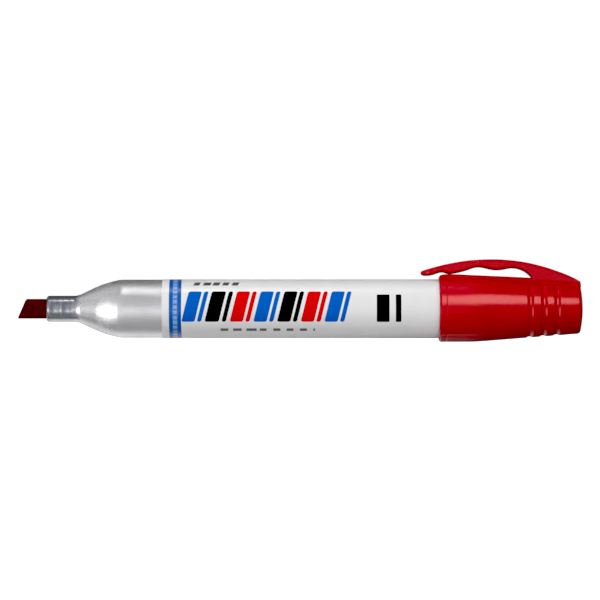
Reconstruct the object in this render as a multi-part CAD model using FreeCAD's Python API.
import FreeCAD, Part
import math
import os

# Felt tip marker with an aluminium barrel, a crimped nozzle, a chisel felt nib
# and a moulded cap with a pocket clip, posted on the tail of the barrel.
#
# Frame: +X runs along the barrel axis from the nib (front) towards the cap
# (rear), +Z is the clip side, Y = 0 is the mirror plane. The origin is on the
# barrel axis at the middle of the printed label. All sizes are in millimetres.

Vector = FreeCAD.Vector
X_AXIS = Vector(1, 0, 0)
ORIGIN = Vector(0, 0, 0)
OVERSHOOT = 1.0          # how far cutting shapes run past the ends they open

# ---------------------------------------------------------------- dimensions
# barrel: one drawn and necked aluminium tube
TUBE_R = 8.10
WALL = 0.45
TAIL_X = 52.0            # rear end of the tube
TAIL_CHAMFER_X, TAIL_CHAMFER_R = 0.25, 0.15
SHOULDER_X = -49.75      # where the necked shoulder meets the straight tube
SHOULDER_DEG = 9.5       # slope of the shoulder at that edge
CONE_DEG = 25.5          # steepest slope of the shoulder
NECK_ARC_R = 5.0         # hollow arc between nozzle and shoulder
NECK_X = -62.9           # where the nozzle starts to open into the shoulder
NOZZLE_R = 3.62
NOZZLE_BORE_R = NOZZLE_R - WALL
RIM_X = -70.45           # front rim of the nozzle
RIM_BORE_R = 2.76        # the rim is rolled in to the nib
RIM_FACE_R = 2.98        # outer edge of the flat rim face
RIM_ROUND_MID = (-70.16, 3.44)    # x, radius half way round the rim
RIM_ROUND_X = -69.45     # where the rounding meets the straight nozzle
CRIMP_X = (-67.90, -64.70)        # crimp dents, one on each Y side at each x
CRIMP_LEN = 2.7          # length of a dent along the nozzle
CRIMP_DEEP = 0.42

# inside of the barrel: x, radius, from the straight tube to the nozzle rim
BARREL_BORE = [
    (-49.55, TUBE_R - WALL), (-53.55, 6.72), (-57.5, 5.17), (-60.55, 3.72), (-61.3, 3.42),
    (-62.35, NOZZLE_BORE_R), (-69.75, NOZZLE_BORE_R), (-70.05, RIM_BORE_R), (-70.37, RIM_BORE_R),
]

# label: printed film round the tube
LABEL_HALF_LEN = 38.2
LABEL_T = 0.16

# nib: felt rod cut to an oblique chisel
NIB_R = 2.73
NIB_TAIL_X = -46.0
NIB_TAIL_ROUND = 0.4
NIB_TOP_X = -76.10       # short corner of the chisel, clip side
NIB_LONG_X = -78.50      # long corner of the chisel
NIB_FLAT_X = -70.15      # the two flats start here
NIB_FLAT_HALF = 2.25     # half thickness where the flats start
NIB_EDGE_HALF = 1.10     # half thickness at the writing edge
NIB_CUT_REAR_X = -40     # rear end of the shapes that trim the nib
NIB_CUT_HALF = 4         # their half size across the nib

# ink reservoir
CORE_R = 7.36
CORE_X0, CORE_X1 = -49.4, 45.4
WRAP_T = 0.12
NIB_POCKET_GAP = 0.03    # radial gap round the nib
NIB_POCKET_END_GAP = 0.1

# rear plug
PLUG_STEM_R = 7.58
PLUG_STEM_X = 47.2       # front end of the stem
PLUG_RIB_R = 7.64
PLUG_RIB_SETBACKS = (1.0, 2.6)    # rear edge of each rib, forward of the tail
PLUG_FLANGE_T = 1.1
PLUG_FLANGE_R = TUBE_R - 0.04
PLUG_CUP_DEEP = 3.0      # cup open to the front
PLUG_CUP_MOUTH_R, PLUG_CUP_FLOOR_R = 6.3, 6.1
PLUG_DISH_DEEP = 0.35    # shallow dish in the rear face
PLUG_DISH_FLOOR_R, PLUG_DISH_MOUTH_R = 3.6, 4.0
FIN_COUNT = 4
FIN_HALF_T = 0.5
FIN_R0, FIN_R1 = 2.2, 6.25
FIN_CORE_GAP = 0.05
FIN_ROOT = 0.4           # how far the fins sink into the cup floor

# cap
CAP_X0 = 38.60           # mouth
CAP_X1 = 78.50           # closed end
CAP_R = 9.21             # straight part
CAP_MOUTH_FACE_R = 8.74
CAP_MOUTH_ROUND = 0.55   # length of the mouth rounding along X
CAP_BLEND_X = (46.5, 47.6, 48.75, 49.9, 51.0)    # from the straight part to the even taper
CAP_STRAIGHT_X, CAP_TAPER_X = CAP_BLEND_X[0], CAP_BLEND_X[-1]
CAP_TAPER = 0.0785       # radius lost per millimetre
WITNESS_X = 40.60        # fine witness line behind the mouth
WITNESS_HALF = 0.13
WITNESS_DEEP = 0.07
RING_X = (63.75, 67.50, 71.20)    # grip grooves
RING_HALF = 0.85
RING_DEEP = 0.27
CAP_END_ROUND_X = 77.25  # the end rounding starts here
CAP_END_EDGE = (77.95, 6.12)      # x, radius where the dome starts
CAP_END_FLAT_R = 2.30
CAP_BORE_R = 8.14
CAP_MOUTH_BORE_R = 8.50
CAP_BORE_X1 = 54.6
SEAT_R = 5.62            # seat of the inner seal
SEAT_X0, SEAT_X1 = 71.4, 76.35

# raised land under the clip
PAD_HALF = 3.15
PAD_END_X = 77.80
# top of the land: x, z, from the mouth to the closed end
PAD_TOP = [
    (38.68, 8.80), (38.80, 9.10), (39.2, 9.34), (40.0, 9.53), (41.2, 9.60), (43.0, 9.57),
    (46.3, 9.43), (50.0, 9.26), (54.5, 9.06), (59.0, 8.86), (63.0, 8.66), (66.5, 8.44),
    (70.0, 8.19), (73.5, 7.92), (77.0, 7.63),
]

# inner seal: a tube with a flange and a closed rear end
SEAL_FLANGE_R = 5.57
SEAL_TUBE_R = 4.95
SEAL_X0 = 58.0
SEAL_FLANGE_X = 71.6
SEAL_X1 = 76.3
SEAL_END_T = 1.0
SEAL_CHAMFER = 0.25
SEAL_MOUTH_R = 4.25      # the bore narrows in two steps towards the rear
SEAL_BORE_R = 3.66
SEAL_REAR_BORE_R = 3.2

# clip
CLIP_END_X = 77.95
CLIP_ROOT_HALF = 2.50
CLIP_TIP_HALF = 2.35
CLIP_NOSE_X = 36.2       # the rounded nose ends here
CLIP_BLOCK_HALF = 5.0    # half width before the plan trims it
CLIP_BLOCK_Z = 20        # height that clears the clip
HINGE_X, HINGE_Z = 63.60, 11.25   # line the arm flexes about
KNUCKLE_R = 1.40
KNUCKLE_GAP = 0.06
ARM_END_X = 62.7         # the arm ends here, inside its knuckle
ROOT_X0 = 63.0           # front of the fixed root
ROOT_OPEN = 0.38         # the root is cleared this far behind the hinge line

# upper outline of the clip: x, z, from the free tip to the closed end
CLIP_TOP = [
    (33.52, 10.05), (33.95, 10.48), (35.0, 10.88), (36.3, 11.28), (38.5, 11.89), (40.8, 12.42),
    (43.0, 12.86), (45.2, 13.23), (47.4, 13.50), (49.7, 13.67), (51.9, 13.75), (53.5, 13.77),
    (55.2, 13.74), (57.5, 13.60), (59.7, 13.38), (61.9, 13.08), (64.1, 12.66), (66.4, 12.09),
    (68.6, 11.48), (70.8, 10.75), (73.0, 9.95), (75.3, 8.99), (76.6, 8.35), (77.35, 7.92),
]
# lower outline of the clip: x, z, from the free tip to the root
CLIP_UNDER = [
    (33.52, 9.66), (34.1, 9.24), (35.0, 9.13), (36.0, 9.20), (37.0, 9.42), (38.2, 9.84),
    (39.3, 10.08), (40.1, 10.00), (40.75, 9.76), (41.45, 9.66), (42.2, 9.74), (43.0, 9.91),
    (44.1, 10.11), (45.2, 10.32), (46.3, 10.64), (47.4, 11.04), (48.5, 11.37), (49.6, 11.50),
    (50.7, 11.39), (51.9, 11.13), (53.0, 10.88), (54.1, 10.72), (55.2, 10.71), (56.3, 10.83),
    (57.4, 11.05), (58.5, 11.21), (59.7, 11.19), (60.8, 10.96), (61.9, 10.54), (63.0, 9.88),
    (63.7, 9.30), (64.2, 8.80),
]
CLIP_TIP_X = CLIP_TOP[0][0]


# ------------------------------------------------------------------- helpers
# Profiles are lists of edges in the XZ plane, given as (x, z) or (x, radius).
def line(start, end):
    return Part.makeLine(Vector(start[0], 0, start[1]), Vector(end[0], 0, end[1]))


def lines(points):
    return [line(start, end) for start, end in zip(points, points[1:])]


def closed_lines(points):
    return lines(points + points[:1])


def arc(start, middle, end):
    return Part.Arc(*[Vector(x, 0, z) for x, z in (start, middle, end)]).toShape()


def spline(points):
    curve = Part.BSplineCurve()
    curve.interpolate([Vector(x, 0, z) for x, z in points])
    return curve.toShape()


def slope_arc(start, start_deg, end_deg, radius, bend):
    """Arc from one slope to another; bend +1 is up, -1 is down. Returns edge and end point."""
    start_angle = math.radians(start_deg)
    centre_x = start[0] - bend * radius * math.sin(start_angle)
    centre_z = start[1] + bend * radius * math.cos(start_angle)

    def point_at(slope_deg):
        angle = math.radians(slope_deg)
        return (centre_x + bend * radius * math.sin(angle),
                centre_z - bend * radius * math.cos(angle))

    end = point_at(end_deg)
    return arc(start, point_at((start_deg + end_deg) / 2), end), end


def revolve(edges):
    """Solid of a closed profile turned about X."""
    face = Part.Face(Part.Wire(Part.__sortEdges__(edges)))
    solid = face.revolve(ORIGIN, X_AXIS, 360)
    if solid.ShapeType != "Solid":
        solid = solid.Solids[0]
    # a profile drawn the other way round gives an inside-out solid
    if solid.Volume < 0:
        solid.reverse()
    return solid


def extrude_y(edges, half):
    """Solid of a closed profile, from -half to +half in Y."""
    face = Part.Face(Part.Wire(Part.__sortEdges__(edges)))
    face.translate(Vector(0, -half, 0))
    return face.extrude(Vector(0, 2 * half, 0))


def box(x0, x1, y_half, z0, z1):
    return Part.makeBox(x1 - x0, 2 * y_half, z1 - z0, Vector(x0, -y_half, z0))


def rod_x(x0, x1, radius):
    return Part.makeCylinder(radius, x1 - x0, Vector(x0, 0, 0), X_AXIS)


def hinge_rod(radius, half):
    return Part.makeCylinder(radius, 2 * half, Vector(HINGE_X, -half, HINGE_Z), Vector(0, 1, 0))


def sleeve(x0, x1, inner_r, outer_r):
    return revolve(closed_lines([(x0, inner_r), (x0, outer_r), (x1, outer_r), (x1, inner_r)]))


def one_solid(shape):
    """The single solid of a result, tidied; slivers are dropped."""
    solids = sorted(shape.removeSplitter().Solids, key=lambda solid: -solid.Volume)
    if len(solids) > 1 and solids[1].Volume > 1e-3:
        raise RuntimeError("expected one solid, got %d" % len(solids))
    return solids[0]


def fillet(solid, pick, radii):
    """Fillet the picked edges with the first radius that works."""
    edges = [edge for edge in solid.Edges if pick(edge)]
    for radius in radii:
        # guards against a radius too large for the edges: the next one is tried,
        # and the solid stays sharp if none fits
        try:
            rounded = solid.makeFillet(radius, edges)
            if rounded.isValid() and rounded.Volume > 0 and len(rounded.Solids) == 1:
                return rounded.Solids[0]
        except Exception:
            pass
    return solid


# -------------------------------------------------------------------- barrel
def shoulder_profile():
    """Outside from nozzle to straight tube: hollow arc, cone, full arc. Also the end point."""
    hollow_arc, cone_start = slope_arc((NECK_X, NOZZLE_R), 0.0, CONE_DEG, NECK_ARC_R, +1) \
        if False else neck_arc()
    cone, edge = math.radians(CONE_DEG), math.radians(SHOULDER_DEG)
    sine_drop = math.sin(cone) - math.sin(edge)
    chord_slope = (math.cos(edge) - math.cos(cone)) / sine_drop
    cone_slope = math.tan(cone)
    # the cone line meets the chord of the full arc, which ends on the tube
    cone_end_x = (TUBE_R - cone_start[1] + cone_slope * cone_start[0]
                  - chord_slope * SHOULDER_X) / (cone_slope - chord_slope)
    cone_end = (cone_end_x, cone_start[1] + cone_slope * (cone_end_x - cone_start[0]))
    full_r = (SHOULDER_X - cone_end_x) / sine_drop
    full_arc, end = full_shoulder_arc(cone_end, full_r)
    return [hollow_arc, line(cone_start, cone_end), full_arc], end


def neck_arc():
    return slope_arc((NECK_X, NOZZLE_R), 0.0, CONE_DEG, NECK_ARC_R, +1)


def full_shoulder_arc(start, radius):
    return slope_arc(start, CONE_DEG, SHOULDER_DEG, radius, -1)


def crimp_roller(x, side, grow):
    """Roller along Z on one side of the nozzle; grow adds to its radius all round."""
    radius = (CRIMP_LEN ** 2 / 4 + CRIMP_DEEP ** 2) / (2 * CRIMP_DEEP) + grow
    y = side * (NOZZLE_R - CRIMP_DEEP - grow + radius)
    return Part.makeCylinder(radius, 8, Vector(x, y, -4), Vector(0, 0, 1))


def make_barrel():
    shoulder, shoulder_end = shoulder_profile()
    rim_inner = (RIM_X, RIM_BORE_R + 0.10)
    rim_face = (RIM_X, RIM_FACE_R)
    round_end = (RIM_ROUND_X, NOZZLE_R)
    outer = revolve([
        line(rim_inner, rim_face),
        arc(rim_face, RIM_ROUND_MID, round_end),
        line(round_end, (NECK_X, NOZZLE_R)),
        *shoulder,
        *lines([
            shoulder_end, (TAIL_X - TAIL_CHAMFER_X, TUBE_R), (TAIL_X, TUBE_R - TAIL_CHAMFER_R),
            (TAIL_X, 0), (RIM_X, 0), rim_inner,
        ]),
    ])
    tail_x, front_x = TAIL_X + OVERSHOOT, RIM_X - OVERSHOOT
    flare_r = RIM_BORE_R + 0.11
    hollow = revolve(closed_lines([
        (tail_x, 0), (tail_x, TUBE_R - WALL), *BARREL_BORE,
        (RIM_X - 0.01, flare_r), (front_x, flare_r), (front_x, 0),
    ]))
    # the dents show outside and inside, one wall thickness apart
    for x in CRIMP_X:
        for side in (-1, 1):
            outer = outer.cut(crimp_roller(x, side, 0))
            hollow = hollow.cut(crimp_roller(x, side, WALL))
    return one_solid(outer.cut(hollow))


def make_label():
    return sleeve(-LABEL_HALF_LEN, LABEL_HALF_LEN, TUBE_R, TUBE_R + LABEL_T)


# ----------------------------------------------------------------------- nib
def is_chisel_edge(edge):
    """Front edges that run straight across Z and X, or up the oblique cut."""
    bounds = edge.BoundBox
    return (bounds.XMax < NIB_TOP_X + 0.2 and bounds.YLength < 0.05
            or bounds.XMax < NIB_TOP_X + 0.05 and bounds.ZLength > 3)


def make_nib():
    rod = rod_x(NIB_LONG_X, NIB_TAIL_X, NIB_R)
    rod = fillet(rod, lambda edge: abs(edge.CenterOfMass.x - NIB_TAIL_X) < 0.01,
                 radii=(NIB_TAIL_ROUND,))
    # oblique front cut, seen from the side
    clear_z = NIB_R + 1
    side_view = extrude_y(closed_lines([
        (NIB_LONG_X, -clear_z), (NIB_LONG_X, -NIB_R), (NIB_TOP_X, NIB_R),
        (NIB_TOP_X, clear_z), (NIB_CUT_REAR_X, clear_z), (NIB_CUT_REAR_X, -clear_z),
    ]), NIB_CUT_HALF)
    # two flats that close towards the writing edge, seen from above
    half_plan = [
        (NIB_LONG_X, NIB_EDGE_HALF), (NIB_FLAT_X, NIB_FLAT_HALF),
        (NIB_FLAT_X, NIB_CUT_HALF), (NIB_CUT_REAR_X, NIB_CUT_HALF),
    ]
    outline = [Vector(x, -y, 0) for x, y in half_plan]
    outline += [Vector(x, y, 0) for x, y in reversed(half_plan)]
    face = Part.Face(Part.makePolygon(outline + outline[:1]))
    face.translate(Vector(0, 0, -NIB_CUT_HALF))
    plan_view = face.extrude(Vector(0, 0, 2 * NIB_CUT_HALF))
    nib = one_solid(rod.common(side_view).common(plan_view))
    return fillet(nib, is_chisel_edge, radii=(0.3, 0.2, 0.12))


# ----------------------------------------------------------------- reservoir
def make_core():
    core = rod_x(CORE_X0, CORE_X1, CORE_R)
    pocket = rod_x(CORE_X0 - OVERSHOOT, NIB_TAIL_X + NIB_POCKET_END_GAP, NIB_R + NIB_POCKET_GAP)
    return one_solid(core.cut(pocket))


def make_wrap():
    return sleeve(CORE_X0, CORE_X1, CORE_R, CORE_R + WRAP_T)


# ---------------------------------------------------------------------- plug
def make_plug():
    rear_x = TAIL_X + PLUG_FLANGE_T
    cup_floor_x = PLUG_STEM_X + PLUG_CUP_DEEP
    dish_x = rear_x - PLUG_DISH_DEEP
    round_start = (rear_x, TUBE_R - 0.65)
    round_end = (rear_x - 0.55, PLUG_FLANGE_R)
    ribs = []
    for setback in PLUG_RIB_SETBACKS:
        x = TAIL_X - setback
        ribs += [(x, PLUG_STEM_R), (x - 0.2, PLUG_RIB_R), (x - 0.5, PLUG_RIB_R),
                 (x - 0.7, PLUG_STEM_R)]
    plug = revolve([
        *lines([
            (cup_floor_x, 0), (dish_x, 0), (dish_x, PLUG_DISH_FLOOR_R),
            (rear_x, PLUG_DISH_MOUTH_R), round_start,
        ]),
        arc(round_start, (rear_x - 0.13, TUBE_R - 0.20), round_end),
        *lines([
            round_end, (TAIL_X, PLUG_FLANGE_R), (TAIL_X, PLUG_STEM_R), *ribs,
            (PLUG_STEM_X + 0.4, PLUG_STEM_R), (PLUG_STEM_X, PLUG_STEM_R - 0.3),
            (PLUG_STEM_X, PLUG_CUP_MOUTH_R), (cup_floor_x, PLUG_CUP_FLOOR_R), (cup_floor_x, 0),
        ]),
    ])
    # fins that hold the reservoir forward and leave an air space behind it
    for k in range(FIN_COUNT):
        fin = box(CORE_X1 + FIN_CORE_GAP, cup_floor_x + FIN_ROOT, FIN_HALF_T, FIN_R0, FIN_R1)
        fin.rotate(ORIGIN, X_AXIS, 360 / FIN_COUNT * k + 45)
        plug = plug.fuse(fin)
    return one_solid(plug)


# ----------------------------------------------------------------------- cap
def cap_outer_r(x):
    """Outside radius of the cap from the end of its straight part, without grooves."""
    blend = CAP_TAPER_X - CAP_STRAIGHT_X
    if x <= CAP_TAPER_X:
        fraction = (x - CAP_STRAIGHT_X) / blend
        return CAP_R - CAP_TAPER * blend * fraction * fraction / 2
    return CAP_R - CAP_TAPER * blend / 2 - (x - CAP_TAPER_X) * CAP_TAPER


def cap_outer_profile():
    mouth_face = (CAP_X0, CAP_MOUTH_FACE_R)
    mouth_side = (CAP_X0 + CAP_MOUTH_ROUND, CAP_R)
    edges = [
        line((CAP_X0, 0), mouth_face),
        arc(mouth_face, (CAP_X0 + 0.17, 9.04), mouth_side),
        *lines([
            mouth_side, (WITNESS_X - WITNESS_HALF, CAP_R), (WITNESS_X, CAP_R - WITNESS_DEEP),
            (WITNESS_X + WITNESS_HALF, CAP_R), (CAP_STRAIGHT_X, CAP_R),
        ]),
        spline([(x, cap_outer_r(x)) for x in CAP_BLEND_X]),
    ]
    last = (CAP_TAPER_X, cap_outer_r(CAP_TAPER_X))
    for x in RING_X:
        front = (x - RING_HALF, cap_outer_r(x - RING_HALF))
        rear = (x + RING_HALF, cap_outer_r(x + RING_HALF))
        edges += [line(last, front), arc(front, (x, cap_outer_r(x) - RING_DEEP), rear)]
        last = rear
    round_start = (CAP_END_ROUND_X, cap_outer_r(CAP_END_ROUND_X))
    flat_edge = (CAP_X1, CAP_END_FLAT_R)
    # the closed end is very slightly domed round a small flat
    return edges + [
        line(last, round_start),
        arc(round_start, (77.72, 6.68), CAP_END_EDGE),
        arc(CAP_END_EDGE, (78.27, 4.30), flat_edge),
        *lines([flat_edge, (CAP_X1, 0), (CAP_X0, 0)]),
    ]


def make_pad():
    """Raised land from the mouth to the closed end, with rounded shoulders."""
    front_x, rear_top = PAD_TOP[0][0], PAD_TOP[-1]
    rear_low = (PAD_END_X, rear_top[1] - 0.75)
    block = extrude_y([
        spline(PAD_TOP),
        arc(rear_top, (PAD_END_X - 0.24, rear_top[1] - 0.27), rear_low),
        *lines([rear_low, (PAD_END_X, 0), (front_x, 0), PAD_TOP[0]]),
    ], PAD_HALF)
    return fillet(
        block,
        lambda edge: edge.BoundBox.XLength > 20 and edge.CenterOfMass.z > 5
        and abs(edge.CenterOfMass.y) > 1.5,
        radii=(1.3, 1.0, 0.6),
    )


def make_cap_shell():
    cap = revolve(cap_outer_profile()).fuse(make_pad()).fuse(make_clip_root())
    front_x = CAP_X0 - OVERSHOOT
    cavity = revolve(closed_lines([
        (front_x, 0), (front_x, CAP_MOUTH_BORE_R), (CAP_X0, CAP_MOUTH_BORE_R),
        (CAP_X0 + 0.5, CAP_BORE_R), (CAP_BORE_X1, CAP_BORE_R), (CAP_BORE_X1 + 0.4, 7.25),
        (70.2, 5.95), (SEAT_X0, SEAT_R), (SEAT_X1, SEAT_R), (SEAT_X1, 0),
    ]))
    return one_solid(cap.cut(cavity))


def make_seal():
    inner_end_x = SEAL_X1 - SEAL_END_T
    return revolve(closed_lines([
        (SEAL_X0, SEAL_MOUTH_R), (SEAL_X0, 4.75), (SEAL_X0 + SEAL_CHAMFER, SEAL_TUBE_R),
        (SEAL_FLANGE_X, SEAL_TUBE_R), (SEAL_FLANGE_X, SEAL_FLANGE_R - SEAL_CHAMFER),
        (SEAL_FLANGE_X + SEAL_CHAMFER, SEAL_FLANGE_R), (SEAL_X1, SEAL_FLANGE_R), (SEAL_X1, 0),
        (inner_end_x, 0), (inner_end_x, 3.0), (inner_end_x - 0.2, SEAL_REAR_BORE_R),
        (67.6, SEAL_REAR_BORE_R), (67.2, SEAL_BORE_R), (SEAL_X0 + 1, SEAL_BORE_R),
    ]))


# ---------------------------------------------------------------------- clip
def clip_plan(x0, x1, nose=False):
    """Tapered plan of the clip as a tall block, with a round nose in front of x0 if asked."""
    def corner(x, side):
        fraction = (x - CLIP_TIP_X) / (CAP_X1 - CLIP_TIP_X)
        half = CLIP_TIP_HALF + (CLIP_ROOT_HALF - CLIP_TIP_HALF) * fraction
        return Vector(x, side * half, 0)

    path = [corner(x0, -1), corner(x1, -1), corner(x1, 1), corner(x0, 1)]
    if nose:
        front = Part.Arc(path[-1], Vector(CLIP_TIP_X, 0, 0), path[0]).toShape()
    else:
        front = Part.makeLine(path[-1], path[0])
    edges = [front] + [Part.makeLine(start, end) for start, end in zip(path, path[1:])]
    face = Part.Face(Part.Wire(Part.__sortEdges__(edges)))
    return face.extrude(Vector(0, 0, CLIP_BLOCK_Z))


def clip_block():
    """Arm and root as one block before they are parted at the hinge line."""
    rear_low = (CLIP_END_X, 7.10)
    return extrude_y([
        spline(CLIP_TOP),
        spline(CLIP_UNDER),
        line(CLIP_TOP[0], CLIP_UNDER[0]),
        *lines([CLIP_UNDER[-1], (CLIP_UNDER[-1][0], 0), (CLIP_END_X, 0), rear_low]),
        arc(rear_low, (CLIP_END_X - 0.16, 7.58), CLIP_TOP[-1]),
    ], CLIP_BLOCK_HALF)


def make_clip_arm():
    """Moving arm, ending in a round knuckle."""
    arm = clip_block().common(clip_plan(CLIP_NOSE_X, CAP_X1, nose=True))
    arm = arm.common(box(30, ARM_END_X, 6, 0, CLIP_BLOCK_Z))
    knuckle = hinge_rod(KNUCKLE_R, 6).common(clip_plan(60.0, 70.0))
    return fillet(
        one_solid(arm.fuse(knuckle)),
        lambda edge: edge.BoundBox.XLength > 8 and edge.BoundBox.YLength < 1.2
        and edge.CenterOfMass.z > 11.5 and abs(edge.CenterOfMass.y) > 1.5,
        radii=(0.6, 0.45, 0.3),
    )


def make_clip_root():
    """Fixed root, moulded on the cap, with the seat that matches the knuckle."""
    root = clip_block().common(clip_plan(60.0, CAP_X1))
    root = root.common(box(ROOT_X0, 90, 6, 0, CLIP_BLOCK_Z))
    root = root.cut(hinge_rod(KNUCKLE_R + KNUCKLE_GAP, 7))
    return root.cut(box(60, HINGE_X + ROOT_OPEN, 7, HINGE_Z, CLIP_BLOCK_Z))


# -------------------------------------------------------------------- export
PARTS = {
    "barrel": make_barrel,
    "barrel_label": make_label,
    "felt_nib": make_nib,
    "ink_reservoir_core": make_core,
    "ink_reservoir_wrap": make_wrap,
    "rear_plug": make_plug,
    "cap_shell": make_cap_shell,
    "cap_inner_seal": make_seal,
    "pocket_clip": make_clip_arm,
}

os.makedirs("parts", exist_ok=True)
for name, make in PARTS.items():
    make().exportStep("parts/%s.step" % name)
